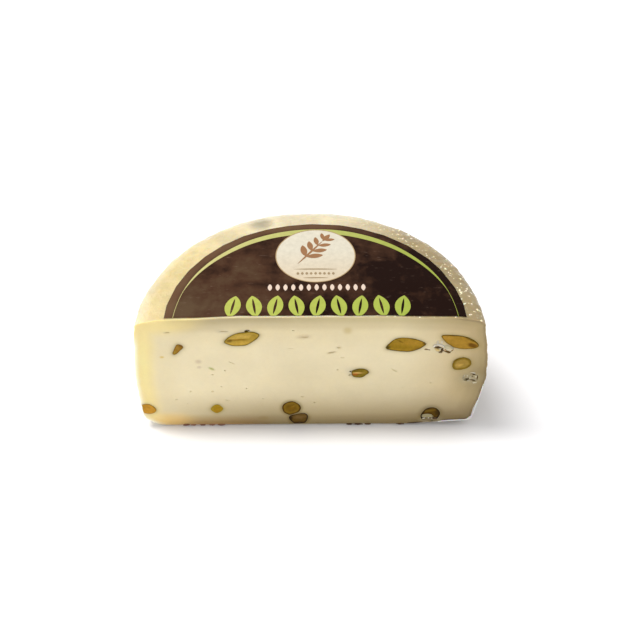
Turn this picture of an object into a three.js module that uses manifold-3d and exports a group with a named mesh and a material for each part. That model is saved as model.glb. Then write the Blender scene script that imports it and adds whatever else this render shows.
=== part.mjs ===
// Half a small wheel of pecorino with whole pistachios in the paste and a round paper label on top.
// It lies on its flat base with the knife's cut facing -Y. Millimetres, +Z up.
// The model is worked out about the wheel's own axis: x runs along the cut, y into the cheese from
// the cut (y = 0), z up from the board. The group is moved at the end, so that its origin is the
// middle of the base of its bounding box.
import * as THREE from 'three';
import { mergeVertices } from 'three/addons/utils/BufferGeometryUtils.js';
import Module from 'manifold-3d';

const wasm = await Module();
wasm.setup();

// The wheel: a flat base with a rounded foot, a side that swells and is a little narrower at the top,
// and a top that slopes gently outwards to a tight shoulder (a superellipse of this power).
const WHEEL_RADIUS = 75.5;
const SHOULDER_RADIUS = 73.1;
const WHEEL_HEIGHT = 69.3;
const SIDE_SWELL = 2;
const SHOULDER_REACH = 18.8;
const SHOULDER_DROP = 6.1;
const SHOULDER_POWER = 2.43;
const FOOT_REACH = 16;
const FOOT_RISE = 8.6;
const WHEEL_SEGMENTS = 112;
const SHOULDER_STEPS = 8;
const FOOT_STEPS = 6;
const SIDE_STEPS = 7;
const BASE_RINGS = [30, 38, 46, 53];

// Where it dried unevenly: the side leans in towards the foot on the right, where the base curls up.
const LEAN_HEIGHT = 33;
const LEAN_SLOPE = 0.1;
const CURL_FROM = 34;
const CURL_TO = 68;
const CURL_RISE = 2.8;
const CURL_HEIGHT = 24;
const RIND_WAVE = 0.3;

// The label: a disc of paper a little off the wheel's axis, cut through with the cheese.
const LABEL_RADIUS = 63;
const LABEL_CENTRE = [2.3, -3.3];
const LABEL_THICKNESS = 0.5;
const LABEL_SEGMENTS = 144;
const LABEL_BEND = 0.5;

// The gap between a piece and the cheese that holds it.
const GAP = 0.3;

// The pistachios that the knife met, left to right. Each gives the place of its section on the cut
// (x, z), the section's length and width, its tilt from level in degrees, and how far it reaches in.
const PISTACHIOS = [
  { name: 'pistachio_1', at: [-72.5, 12.0], length: 6.6, width: 6.2, tilt: -20, reach: 6.5 },
  { name: 'pistachio_2', at: [-56.4, 50.4], length: 6.7, width: 3.5, tilt: 57, reach: 5.0 },
  { name: 'pistachio_3', at: [-42.2, 11.5], length: 5.7, width: 5.3, tilt: 0, reach: 3.6 },
  { name: 'pistachio_4', at: [-28.9, 56.6], length: 15.0, width: 7.8, tilt: 12, reach: 4.2 },
  { name: 'pistachio_5', at: [-8.6, 11.8], length: 10.0, width: 8.6, tilt: 84, reach: 8.2 },
  { name: 'pistachio_6', at: [-5.3, 4.8], length: 9.0, width: 7.4, tilt: 6, reach: 7.4 },
  { name: 'pistachio_7', at: [21.9, 34.6], length: 7.3, width: 5.9, tilt: 2, reach: 5.2 },
  { name: 'pistachio_8', at: [40.5, 52.6], length: 16.8, width: 8.7, tilt: 4, reach: 4.4 },
  { name: 'pistachio_9', at: [54.4, 7.7], length: 8.9, width: 8.2, tilt: 80, reach: 7.6 },
  { name: 'pistachio_10', at: [63.4, 54.2], length: 16.6, width: 7.7, tilt: -16, reach: 3.9 },
  { name: 'pistachio_11', at: [65.3, 40.7], length: 9.1, width: 6.9, tilt: 24, reach: 6.2 },
];
const KERNEL_FACETS = { around: 20, lengthwise: 12 };

// Hollows in the cut: the torn place where a broken kernel fell out, and a crumbly spot.
const HOLLOWS = [
  { at: [50.9, 49.9], length: 5.2, width: 2.8, tilt: -12, reach: 2.6 },
  { at: [55.0, 49.0], length: 6.4, width: 3.6, tilt: -30, reach: 3.4 },
  { at: [59.0, 48.1], length: 6.0, width: 2.2, tilt: 8, reach: 2.0 },
  { at: [69.2, 31.0], length: 8.6, width: 6.2, tilt: 10, reach: 1.3 },
];
const HOLLOW_FACETS = { around: 14, lengthwise: 8 };

// Kernels and hollows are egg-shaped: they taper along their length and slant as they go in.
const EGG_TAPER = 0.14;
const EGG_SLANT = 0.35;

const RIND = new THREE.MeshStandardMaterial({ color: 0xead9a6, roughness: 0.6, metalness: 0 });
const PAPER = new THREE.MeshStandardMaterial({ color: 0x3e2a26, roughness: 0.5, metalness: 0 });
const KERNEL = new THREE.MeshStandardMaterial({ color: 0xa9862f, roughness: 0.55, metalness: 0 });

const FLAT_TOP_RADIUS = SHOULDER_RADIUS - SHOULDER_REACH;
const SHOULDER_FOOT = WHEEL_HEIGHT - SHOULDER_DROP;

const clamp01 = (t) => THREE.MathUtils.clamp(t, 0, 1);

// A closed, merged geometry as a solid that can be cut and joined.
function solidOf(geometry) {
  geometry.deleteAttribute('normal');
  geometry.deleteAttribute('uv');
  const merged = mergeVertices(geometry, 1e-4);
  const mesh = new wasm.Mesh({
    numProp: 3,
    vertProperties: merged.attributes.position.array,
    triVerts: new Uint32Array(merged.index.array),
  });
  return new wasm.Manifold(mesh);
}

// A solid as a mesh of its own, named for what it is.
function meshOf(name, solid, material) {
  const { vertProperties, triVerts } = solid.getMesh();
  const geometry = new THREE.BufferGeometry();
  geometry.setAttribute('position', new THREE.BufferAttribute(vertProperties, 3));
  geometry.setIndex(new THREE.BufferAttribute(triVerts, 1));
  geometry.computeVertexNormals();
  const mesh = new THREE.Mesh(geometry, material);
  mesh.name = name;
  return mesh;
}

// A point of the shoulder, by its angle up from level, pushed out by an offset.
function shoulderPoint(angle, offset) {
  const across = Math.cos(angle) ** (2 / SHOULDER_POWER);
  const up = Math.sin(angle) ** (2 / SHOULDER_POWER);
  const radius = FLAT_TOP_RADIUS + (SHOULDER_REACH + offset) * across;
  return new THREE.Vector2(radius, SHOULDER_FOOT + (SHOULDER_DROP + offset) * up);
}

// The wheel's section from the middle of the base, round the side, to the middle of the top.
function wheelSection() {
  const points = [new THREE.Vector2(0, 0)];
  for (const radius of BASE_RINGS) points.push(new THREE.Vector2(radius, 0));
  for (let i = 0; i <= FOOT_STEPS; i++) {
    const angle = (i / FOOT_STEPS) * (Math.PI / 2);
    const radius = WHEEL_RADIUS - FOOT_REACH * (1 - Math.sin(angle));
    points.push(new THREE.Vector2(radius, FOOT_RISE * (1 - Math.cos(angle))));
  }
  for (let i = 1; i < SIDE_STEPS; i++) {
    const t = i / SIDE_STEPS;
    const radius = THREE.MathUtils.lerp(WHEEL_RADIUS, SHOULDER_RADIUS, t);
    const height = THREE.MathUtils.lerp(FOOT_RISE, SHOULDER_FOOT, t);
    points.push(new THREE.Vector2(radius + SIDE_SWELL * Math.sin(Math.PI * t), height));
  }
  for (let i = 0; i <= SHOULDER_STEPS; i++) {
    points.push(shoulderPoint((i / SHOULDER_STEPS) * (Math.PI / 2), 0));
  }
  points.push(new THREE.Vector2(0, WHEEL_HEIGHT));
  return points;
}

// A thin sheet's section that follows the top and the start of the shoulder, between two offsets.
function sheetSection(inner, outer) {
  const points = [new THREE.Vector2(0, WHEEL_HEIGHT + inner)];
  const firstStep = Math.round(SHOULDER_STEPS * LABEL_BEND);
  for (let i = SHOULDER_STEPS; i >= firstStep; i--) {
    points.push(shoulderPoint((i / SHOULDER_STEPS) * (Math.PI / 2), inner));
  }
  for (let i = firstStep; i <= SHOULDER_STEPS; i++) {
    points.push(shoulderPoint((i / SHOULDER_STEPS) * (Math.PI / 2), outer));
  }
  points.push(new THREE.Vector2(0, WHEEL_HEIGHT + outer));
  return points;
}

// How a wheel turned true settles out of shape: the lean, the curled base and the rind's slow waves.
function settle(point) {
  const right = clamp01(point.x / WHEEL_RADIUS);
  const lean = LEAN_SLOPE * Math.max(0, LEAN_HEIGHT - point.z);
  const curl = CURL_RISE * THREE.MathUtils.smoothstep(point.x, CURL_FROM, CURL_TO);
  const turn = Math.atan2(point.y, point.x);
  const side = clamp01(point.z / FOOT_RISE) * clamp01((WHEEL_HEIGHT - point.z) / SHOULDER_DROP);
  const wave = Math.sin(5 * turn + 0.06 * point.z) + 0.6 * Math.sin(11 * turn - 0.09 * point.z);
  const swell = (RIND_WAVE * side * wave * Math.hypot(point.x, point.y)) / WHEEL_RADIUS;
  point.x += swell * Math.cos(turn) - lean * right * right;
  point.y += swell * Math.sin(turn);
  point.z += curl * clamp01(1 - point.z / CURL_HEIGHT);
  return point;
}

// A section turned about the wheel's axis and settled. The turn starts half a step off the cut,
// so that the knife passes through the middle of the facets.
function turned(section) {
  const step = (2 * Math.PI) / WHEEL_SEGMENTS;
  const geometry = new THREE.LatheGeometry(section, WHEEL_SEGMENTS, step / 2, 2 * Math.PI);
  geometry.rotateX(Math.PI / 2);
  const positions = geometry.attributes.position;
  const point = new THREE.Vector3();
  for (let i = 0; i < positions.count; i++) {
    settle(point.fromBufferAttribute(positions, i));
    positions.setXYZ(i, point.x, point.y, point.z);
  }
  return solidOf(geometry);
}

// Everything on the cheese's side of the knife.
function behindTheKnife() {
  const size = 4 * WHEEL_RADIUS;
  const box = new THREE.BoxGeometry(size, size, size);
  box.translate(0, size / 2, 0);
  return solidOf(box);
}

// An egg-shaped body centred on the cut, where its section is what the entry gives. A margin makes
// it larger all round.
function eggBody({ at, length, width, tilt, reach }, { around, lengthwise }, margin) {
  const geometry = new THREE.SphereGeometry(1, around, lengthwise);
  geometry.rotateZ(Math.PI / 2);
  const positions = geometry.attributes.position;
  const point = new THREE.Vector3();
  for (let i = 0; i < positions.count; i++) {
    point.fromBufferAttribute(positions, i);
    const girth = 1 - EGG_TAPER * point.x;
    const inward = point.y * girth * (reach + margin);
    const along = point.x * (length / 2 + margin) + EGG_SLANT * inward;
    positions.setXYZ(i, along, inward, point.z * girth * (width / 2 + margin));
  }
  geometry.rotateY(THREE.MathUtils.degToRad(-tilt));
  geometry.translate(at[0], 0, at[1]);
  return solidOf(geometry);
}

const pistachioBody = (entry, margin) => eggBody(entry, KERNEL_FACETS, margin);
const hollowBody = (entry) => eggBody(entry, HOLLOW_FACETS, 0);

const wheel = turned(wheelSection());
const kept = behindTheKnife();

// The cheese: the wheel, halved, with a hollow for each pistachio and where one fell out.
function cheeseSolid() {
  let cheese = wheel.intersect(kept);
  for (const entry of PISTACHIOS) cheese = cheese.subtract(pistachioBody(entry, GAP));
  for (const entry of HOLLOWS) cheese = cheese.subtract(hollowBody(entry));
  return cheese;
}

// The label: a disc trimmed from a sheet that follows the top, halved by the same cut.
function labelSolid() {
  const sheet = turned(sheetSection(GAP, GAP + LABEL_THICKNESS));
  const tall = 4 * SHOULDER_DROP;
  const disc = new THREE.CylinderGeometry(LABEL_RADIUS, LABEL_RADIUS, tall, LABEL_SEGMENTS);
  disc.rotateX(Math.PI / 2);
  disc.translate(LABEL_CENTRE[0], LABEL_CENTRE[1], WHEEL_HEIGHT);
  return sheet.intersect(solidOf(disc)).intersect(kept);
}

// The pistachios: each cut flush with the knife and the rind, and clear of those before it.
function pistachioSolids() {
  return PISTACHIOS.map((entry, index) => {
    let kernel = pistachioBody(entry, 0).intersect(wheel).intersect(kept);
    for (const earlier of PISTACHIOS.slice(0, index)) {
      kernel = kernel.subtract(pistachioBody(earlier, GAP));
    }
    return kernel;
  });
}

const pecorino = new THREE.Group();
pecorino.add(meshOf('cheese', cheeseSolid(), RIND));
pecorino.add(meshOf('label', labelSolid(), PAPER));
pistachioSolids().forEach((solid, index) => {
  pecorino.add(meshOf(PISTACHIOS[index].name, solid, KERNEL));
});

const bounds = new THREE.Box3().setFromObject(pecorino);
const middle = bounds.getCenter(new THREE.Vector3());
pecorino.position.set(-middle.x, -middle.y, -bounds.min.z);

export default pecorino;
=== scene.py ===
import math

import bpy
from mathutils import Matrix, Vector, noise
from mathutils.bvhtree import BVHTree


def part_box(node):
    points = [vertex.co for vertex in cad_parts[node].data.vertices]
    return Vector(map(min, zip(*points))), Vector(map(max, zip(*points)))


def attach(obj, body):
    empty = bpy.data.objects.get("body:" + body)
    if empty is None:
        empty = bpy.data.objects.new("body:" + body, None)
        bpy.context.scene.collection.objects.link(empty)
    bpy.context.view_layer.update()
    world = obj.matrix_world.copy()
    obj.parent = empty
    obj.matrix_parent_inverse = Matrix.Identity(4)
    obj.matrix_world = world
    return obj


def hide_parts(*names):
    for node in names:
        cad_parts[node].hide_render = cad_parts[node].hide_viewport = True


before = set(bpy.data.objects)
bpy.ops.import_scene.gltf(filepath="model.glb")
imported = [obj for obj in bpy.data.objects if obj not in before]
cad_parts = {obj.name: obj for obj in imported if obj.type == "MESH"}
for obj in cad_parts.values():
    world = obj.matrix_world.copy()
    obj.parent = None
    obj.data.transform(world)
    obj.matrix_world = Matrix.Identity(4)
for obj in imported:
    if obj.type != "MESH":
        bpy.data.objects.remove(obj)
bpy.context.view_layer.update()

MM = 0.001
# The knife's cut, the wheel's top, and the wheel's axis, a little left of the solids' middle.
cheese_low, cheese_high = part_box("cheese")
CUT_Y = cheese_low.y
TOP_Z = cheese_high.z
AXIS_X = -0.168 * MM


# ---- The table, the light and the camera --------------------------------------------------
# A white sweep in a bright white room. A long soft lamp hangs above, a little behind the cheese
# and to its left, so short shadows fall forward and to the right. A weaker one behind on the
# left gives the rind and the label their sheen.

LABEL_OFF_AXIS = (2.3, -3.3)
LABEL_CENTRE = Vector((AXIS_X + LABEL_OFF_AXIS[0] * MM, CUT_Y + LABEL_OFF_AXIS[1] * MM, TOP_Z))
VIEW_ELEVATION = math.radians(44.57)
VIEW_TURN = math.radians(-0.43)
VIEW_DISTANCE = 441 * MM
VIEW_AIM = Vector((1.76, 0, 1.49)) * MM
VIEW_LENS = 60.65
ROOM_BRIGHTNESS = 0.72


def linear(hex_colour):
    """An sRGB hex colour as linear red, green, blue and alpha."""
    parts = [int(hex_colour[i:i + 2], 16) / 255 for i in (1, 3, 5)]
    return [c / 12.92 if c <= 0.04045 else ((c + 0.055) / 1.055) ** 2.4 for c in parts] + [1.0]


def material(name):
    """A new material with its own shader and output, and the tree that the nodes go into."""
    made = bpy.data.materials.new(name)
    made.use_nodes = True
    tree = made.node_tree
    return made, tree, tree.nodes["Principled BSDF"]


def soft_lamp(name, place, size, power, colour):
    """A lamp with an oval face, turned to the cheese: size is the depth and width of its face."""
    data = bpy.data.lights.new(name, "AREA")
    data.shape = "ELLIPSE"
    data.size, data.size_y = size
    data.energy = power
    data.color = linear(colour)[:3]
    lamp = bpy.data.objects.new(name, data)
    lamp.location = place
    aim = Vector((0, 0, 30 * MM)) - lamp.location
    lamp.rotation_euler = aim.to_track_quat("-Z", "Y").to_euler()
    bpy.context.collection.objects.link(lamp)


soft_lamp("softbox_above", (-0.28, 0.045, 0.9), (0.17, 0.5), 6.5, "#FFFFFF")
soft_lamp("softbox_behind_left", (-0.75, 0.55, 0.5), (0.5, 0.5), 2, "#FFFDF8")

world = bpy.data.worlds.new("white studio")
bpy.context.scene.world = world
world.use_nodes = True
world.node_tree.nodes["Background"].inputs["Color"].default_value = linear("#FFFFFF")
world.node_tree.nodes["Background"].inputs["Strength"].default_value = ROOM_BRIGHTNESS
bpy.context.scene.view_settings.view_transform = "Standard"

bpy.ops.mesh.primitive_plane_add(size=6, location=(0, 0, 0))
table = bpy.context.object
table.name = "table"
# Matt white paper: it takes the soft shadows and has no gloss.
table_paint, tree, shader = material("white paper sweep")
shader.inputs["Base Color"].default_value = linear("#F3F2F3")
shader.inputs["Roughness"].default_value = 0.9
table.data.materials.append(table_paint)

eye = bpy.data.cameras.new("camera")
eye.lens = VIEW_LENS
eye.sensor_width = 36
eye.clip_start = 0.01
camera = bpy.data.objects.new("camera", eye)
back_off = Vector((0, -math.cos(VIEW_ELEVATION), math.sin(VIEW_ELEVATION))) * VIEW_DISTANCE
camera.location = LABEL_CENTRE + Matrix.Rotation(VIEW_TURN, 3, "Z") @ (VIEW_AIM + back_off)
camera.rotation_euler = (math.pi / 2 - VIEW_ELEVATION, 0, VIEW_TURN)
bpy.context.collection.objects.link(camera)
bpy.context.scene.camera = camera


# ---- The cheese ---------------------------------------------------------------------------
# A semi-hard sheep's cheese, pressed in a round mould, salted and ripened for a month or two.
# Its thin rind is straw-coloured and wrinkled, and the paste under it is waxy and lets light in.
# The half is one knife cut through the wheel, so it is turned whole and then cut here too.

# The wheel's section: its side swells, its top slopes out to the shoulder, its foot is rounded.
WHEEL_RADIUS = 75.5 * MM
SHOULDER_RADIUS = 73.1 * MM
WHEEL_HEIGHT = 69.3 * MM
SIDE_SWELL = 2 * MM
SHOULDER_REACH = 18.8 * MM
SHOULDER_DROP = 6.1 * MM
SHOULDER_POWER = 2.43
SHOULDER_ARC = 30 * MM
FOOT_REACH = 16 * MM
FOOT_RISE = 8.6 * MM
FOOT_ARC = 20 * MM
# Where it dried out of shape: the right side leans in to the foot, and the base curls up there.
LEAN_HEIGHT = 33 * MM
LEAN_SLOPE = 0.1
CURL_FROM = 34 * MM
CURL_TO = 68 * MM
CURL_RISE = 2.8 * MM
CURL_HEIGHT = 24 * MM
RIND_WAVE = 0.3 * MM
# The label was pressed on, so there is hardly any relief under it.
LABEL_RADIUS = 63 * MM
# How far apart the points lie on the rind, on its flat base and top, and on the cut, and how
# near two of them become one.
RIND_STEP = 0.85 * MM
BASE_STEP = 3.2 * MM
TOP_STEP = 3.5 * MM
PASTE_STEP = 0.55 * MM
MERGE = 0.01 * MM


def select_only(piece):
    bpy.ops.object.select_all(action="DESELECT")
    piece.select_set(True)
    bpy.context.view_layer.objects.active = piece


def settle_place(piece):
    """Puts a piece's place, turn and size into its mesh."""
    select_only(piece)
    bpy.ops.object.transform_apply(location=True, rotation=True, scale=True)


def shade_round(piece, degrees):
    """Shades a piece round, but for edges that are sharper than an angle."""
    select_only(piece)
    bpy.ops.object.shade_smooth_by_angle(angle=math.radians(degrees))


def skin_of(piece):
    """A piece's surface as it is now, to measure distances from."""
    return BVHTree.FromObject(piece, bpy.context.evaluated_depsgraph_get())


def work_in(piece, modifier):
    """Works a modifier's change into a piece's mesh."""
    select_only(piece)
    bpy.ops.object.modifier_apply(modifier=modifier.name)


def face_outwards(piece):
    """Turns every face of a closed piece outwards."""
    select_only(piece)
    bpy.ops.object.mode_set(mode="EDIT")
    bpy.ops.mesh.select_all(action="SELECT")
    bpy.ops.mesh.normals_make_consistent(inside=False)
    bpy.ops.object.mode_set(mode="OBJECT")


def smooth(value, low, high):
    """Rises from 0 at low to 1 at high, gently at both ends."""
    t = min(1, max(0, (value - low) / (high - low)))
    return t * t * (3 - 2 * t)


def section_of_wheel():
    """Radius and height from the middle of the base, round the side, to the middle of the top."""
    points = [(0, 0), (14 * MM, 0), (24 * MM, 0)]
    radius = 30 * MM
    while radius < WHEEL_RADIUS - FOOT_REACH - MM:
        points.append((radius, 0))
        radius += BASE_STEP
    foot = round(FOOT_ARC / RIND_STEP)
    for i in range(foot + 1):
        angle = i / foot * math.pi / 2
        radius = WHEEL_RADIUS - FOOT_REACH * (1 - math.sin(angle))
        points.append((radius, FOOT_RISE * (1 - math.cos(angle))))
    shoulder_foot = WHEEL_HEIGHT - SHOULDER_DROP
    side = round((shoulder_foot - FOOT_RISE) / RIND_STEP)
    for i in range(1, side):
        t = i / side
        radius = WHEEL_RADIUS + (SHOULDER_RADIUS - WHEEL_RADIUS) * t
        swell = SIDE_SWELL * math.sin(math.pi * t)
        points.append((radius + swell, FOOT_RISE + (shoulder_foot - FOOT_RISE) * t))
    shoulder = round(SHOULDER_ARC / RIND_STEP)
    for i in range(shoulder + 1):
        angle = i / shoulder * math.pi / 2
        across = max(0, math.cos(angle)) ** (2 / SHOULDER_POWER)
        up = math.sin(angle) ** (2 / SHOULDER_POWER)
        radius = SHOULDER_RADIUS - SHOULDER_REACH * (1 - across)
        points.append((radius, shoulder_foot + SHOULDER_DROP * up))
    radius = SHOULDER_RADIUS - SHOULDER_REACH - 3 * MM
    while radius > 4 * MM:
        points.append((radius, WHEEL_HEIGHT))
        radius -= TOP_STEP
    return points + [(0, WHEEL_HEIGHT)]


def top_ripple(x, y):
    """How far the label and the cheese under it rise above flat, for places from the axis. The
    top has sunk a little towards both ends of the cut."""
    slow = noise.noise(Vector((x / (17 * MM), y / (17 * MM), 0.4)))
    quick = noise.noise(Vector((x / (6 * MM), y / (6 * MM), 5.1)))
    sunk = 1.15 * smooth(-x, 28 * MM, 56 * MM) + 0.75 * smooth(x, 28 * MM, 50 * MM)
    return (0.20 * slow + 0.05 * quick - sunk * (1 - smooth(y, 0, 32 * MM))) * MM


def settled(point):
    """Where a point of the true round wheel lies once the cheese has dried out of shape."""
    x, y, z = point.x, point.y, point.z
    # The foot sagged to a squarer corner at the right end of the cut.
    out = (math.hypot(x, y) - WHEEL_RADIUS) / FOOT_REACH + 1
    up = 1 - z / FOOT_RISE
    if out > 0 and up > 0:
        power = 2 + 4 * smooth(x, 46 * MM, 64 * MM) * (1 - smooth(y, 8 * MM, 40 * MM))
        larger = 1 / (out ** power + up ** power) ** (1 / power)
        spread = 1 + (out * larger - out) * FOOT_REACH / math.hypot(x, y)
        x, y, z = x * spread, y * spread, (1 - up * larger) * FOOT_RISE
    right = min(1, max(0, x / WHEEL_RADIUS))
    lean = LEAN_SLOPE * max(0, LEAN_HEIGHT - z)
    curl = CURL_RISE * smooth(x, CURL_FROM, CURL_TO)
    turn = math.atan2(y, x)
    side = min(1, max(0, z / FOOT_RISE)) * min(1, max(0, (WHEEL_HEIGHT - z) / SHOULDER_DROP))
    wave = math.sin(5 * turn + 0.06 * z / MM) + 0.6 * math.sin(11 * turn - 0.09 * z / MM)
    swell = RIND_WAVE * side * wave * math.hypot(x, y) / WHEEL_RADIUS
    rise = curl * min(1, max(0, 1 - z / CURL_HEIGHT))
    rise += top_ripple(x, y) * smooth(z, WHEEL_HEIGHT - 6 * MM, WHEEL_HEIGHT)
    out_x = x + swell * math.cos(turn) - lean * right * right
    return Vector((AXIS_X + out_x, CUT_Y + y + swell * math.sin(turn), z + rise))


def turn_wheel():
    """The whole wheel: one point drawn out along the section, then turned about the axis."""
    points = section_of_wheel()
    bpy.ops.mesh.primitive_plane_add(size=MM)
    wheel = bpy.context.object
    wheel.name = "cheese_half_wheel"
    bpy.ops.object.mode_set(mode="EDIT")
    bpy.ops.mesh.select_all(action="SELECT")
    bpy.ops.mesh.merge(type="CENTER")
    for (r0, z0), (r1, z1) in zip(points, points[1:]):
        step = (r1 - r0, 0, z1 - z0)
        bpy.ops.mesh.extrude_vertices_move(TRANSFORM_OT_translate={"value": step})
    bpy.ops.object.mode_set(mode="OBJECT")
    lathe = wheel.modifiers.new("lathe", "SCREW")
    lathe.steps = lathe.render_steps = round(2 * math.pi * WHEEL_RADIUS / RIND_STEP)
    lathe.use_merge_vertices = True
    lathe.merge_threshold = MERGE
    work_in(wheel, lathe)
    bpy.ops.object.mode_set(mode="EDIT")
    bpy.ops.mesh.select_all(action="SELECT")
    bpy.ops.mesh.remove_doubles(threshold=MERGE)
    bpy.ops.object.mode_set(mode="OBJECT")
    face_outwards(wheel)
    for vertex in wheel.data.vertices:
        vertex.co = settled(vertex.co)
    return wheel


def relief_share(point):
    """How much of the rind's relief shows: none where the cheese lies on the mould's floor, and
    little under the label."""
    from_label = math.hypot(point.x - LABEL_CENTRE.x, point.y - LABEL_CENTRE.y)
    under_label = 1 - smooth(from_label, LABEL_RADIUS - 2 * MM, LABEL_RADIUS + 2 * MM)
    share = 1 - 0.95 * under_label * smooth(point.z, 50 * MM, 60 * MM)
    return share * smooth(point.z, 0, 2.5 * MM)


def wrinkle(piece, size, height, depth):
    """Raises and sinks a piece's surface in wrinkles of a size and height, with ever finer ones
    on them to a depth, as far as its vertex group relief lets them show."""
    texture = bpy.data.textures.new("wrinkles", "CLOUDS")
    texture.noise_scale = size
    texture.noise_depth = depth
    modifier = piece.modifiers.new("relief", "DISPLACE")
    modifier.texture = texture
    modifier.texture_coords = "LOCAL"
    modifier.strength = height
    modifier.mid_level = 0.5
    modifier.vertex_group = "relief"
    work_in(piece, modifier)
    bpy.data.textures.remove(texture)


def boolean(piece, other, operation):
    """Cuts a piece by another solid, or keeps what they share, and takes the other away."""
    modifier = piece.modifiers.new("cut", "BOOLEAN")
    modifier.operation = operation
    modifier.solver = "MANIFOLD"
    modifier.object = other
    work_in(piece, modifier)
    bpy.data.objects.remove(other)


BLOCK_DEPTH = 120 * MM


def dragged_under(height):
    """How far the blade rounded the paste back over the last of its way down to the board."""
    return 0.9 * MM * max(0, 1 - height / (1.6 * MM)) ** 2


def grid_slab(middle, size, squares, through, upright=False):
    """A slab whose face is a fine grid: the face's middle, its width and height, how many squares
    it has each way, and the move that gives the slab its thickness."""
    tip = math.pi / 2 if upright else 0
    bpy.ops.mesh.primitive_grid_add(x_subdivisions=squares[0], y_subdivisions=squares[1], size=1,
                                    location=middle, rotation=(tip, 0, 0))
    slab = bpy.context.object
    slab.scale = (size[0], size[1], 1)
    settle_place(slab)
    bpy.ops.object.mode_set(mode="EDIT")
    bpy.ops.mesh.select_all(action="SELECT")
    bpy.ops.mesh.extrude_region_move(TRANSFORM_OT_translate={"value": through})
    bpy.ops.object.mode_set(mode="OBJECT")
    face_outwards(slab)
    return slab


def knife_block(low_x, high_x, low_z, high_z, step, proud, wave, wave_length):
    """What lies behind a knife's path: a slab whose front is a fine grid on the cut, with the
    slow waves that a blade leaves. proud moves the whole front towards the camera."""
    width, height = high_x - low_x, high_z - low_z
    middle = ((low_x + high_x) / 2, CUT_Y, (low_z + high_z) / 2)
    squares = (max(2, round(width / step)), max(2, round(height / step)))
    block = grid_slab(middle, (width, height), squares, (0, BLOCK_DEPTH, 0), upright=True)
    for vertex in block.data.vertices:
        if vertex.co.y < CUT_Y + BLOCK_DEPTH / 2:
            spot = Vector((vertex.co.x / wave_length, 3.7, vertex.co.z / wave_length))
            vertex.co.y = CUT_Y - proud + wave * noise.noise(spot) + dragged_under(vertex.co.z)
    return block


# Places on the cut are in millimetres, across from the wheel's axis and up from its base.
# The kernels as the knife left them: how far each reaches in, and its outline on the cut.
PISTACHIOS = {
    "pistachio_1": (6.5, [(-76.6, 12.6), (-75.4, 14.9), (-73.5, 15.4), (-71.8, 15.0), (-70.2, 13.4),
                          (-69.5, 11.4), (-70.2, 9.9), (-72.5, 9.0), (-75.2, 9.6)]),
    "pistachio_2": (5.0, [(-56.8, 53.0), (-55.5, 53.6), (-54.3, 53.0), (-53.8, 51.6), (-55.1, 50.0),
                          (-56.6, 48.2), (-58.0, 47.1), (-58.8, 47.8), (-58.1, 49.9)]),
    "pistachio_3": (3.6, [(-45.1, 11.9), (-43.4, 14.2), (-41.6, 14.8), (-40.1, 13.6), (-39.4, 11.9),
                          (-40.5, 9.9), (-42.4, 8.9), (-44.0, 9.9)]),
    "pistachio_4": (4.2, [(-36.4, 54.9), (-34.5, 57.6), (-31.3, 59.8), (-28.1, 60.5), (-25.3, 60.8),
                          (-23.2, 60.5), (-21.3, 59.0), (-22.0, 57.2), (-23.4, 55.7), (-26.7, 53.0),
                          (-29.5, 52.4), (-33.1, 52.6), (-35.6, 53.6)]),
    "pistachio_5": (8.2, [(-12.9, 12.3), (-12.3, 14.5), (-10.8, 16.0), (-8.2, 16.7), (-6.0, 15.4),
                          (-4.7, 13.5), (-4.6, 11.4), (-5.7, 9.4), (-8.0, 8.0), (-10.2, 7.6),
                          (-12.0, 9.1)]),
    "pistachio_6": (7.4, [(-10.1, 5.1), (-9.3, 7.0), (-6.4, 8.0), (-3.7, 8.7), (-2.1, 8.2),
                          (-1.3, 6.5), (-1.5, 4.5), (-2.6, 1.9), (-4.7, 1.1), (-7.3, 1.1),
                          (-9.1, 2.9)]),
    "pistachio_7": (5.2, [(17.9, 36.3), (19.4, 37.4), (21.2, 37.9), (23.4, 37.7), (25.0, 36.4),
                          (25.3, 35.1), (24.2, 34.0), (22.8, 32.6), (20.6, 32.2), (18.4, 33.0)]),
    "pistachio_8": (4.4, [(31.8, 50.7), (33.5, 53.8), (35.5, 56.0), (37.6, 56.8), (41.5, 56.7),
                          (45.7, 55.4), (49.1, 53.2), (47.8, 51.3), (46.1, 49.8), (42.9, 48.4),
                          (39.0, 48.3), (35.2, 49.0), (32.8, 49.6)]),
    "pistachio_9": (7.6, [(50.5, 9.1), (51.8, 11.1), (54.0, 12.1), (56.3, 11.6), (58.0, 9.4),
                          (58.4, 7.0), (57.4, 4.2), (55.0, 2.9), (52.0, 2.9), (50.0, 4.2),
                          (49.7, 6.9)]),
    "pistachio_10": (3.9, [(55.0, 57.6), (57.2, 54.1), (59.1, 52.3), (61.3, 50.8), (65.2, 49.8),
                           (69.2, 50.0), (71.2, 50.9), (71.4, 52.2), (70.0, 54.1), (67.9, 55.8),
                           (64.5, 57.4), (60.3, 58.1), (56.6, 58.3)]),
    "pistachio_11": (6.2, [(61.2, 39.5), (61.6, 42.1), (63.2, 43.7), (65.8, 44.6), (68.3, 43.4),
                           (69.3, 41.3), (69.2, 39.5), (67.7, 37.9), (64.8, 36.9), (62.3, 37.1)]),
}
# A pocket is this much larger than its kernel, so below 0 the paste grips it. The kernel and its
# pocket have this many facets around and inwards, and slant this much as they go in. The rind
# covers a kernel that reaches it this thickly.
POCKET_GAP = -0.03
POCKET_FACETS = (40, 26)
KERNEL_SLANT = 0.3
RIND_COVER = 0.45 * MM


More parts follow.
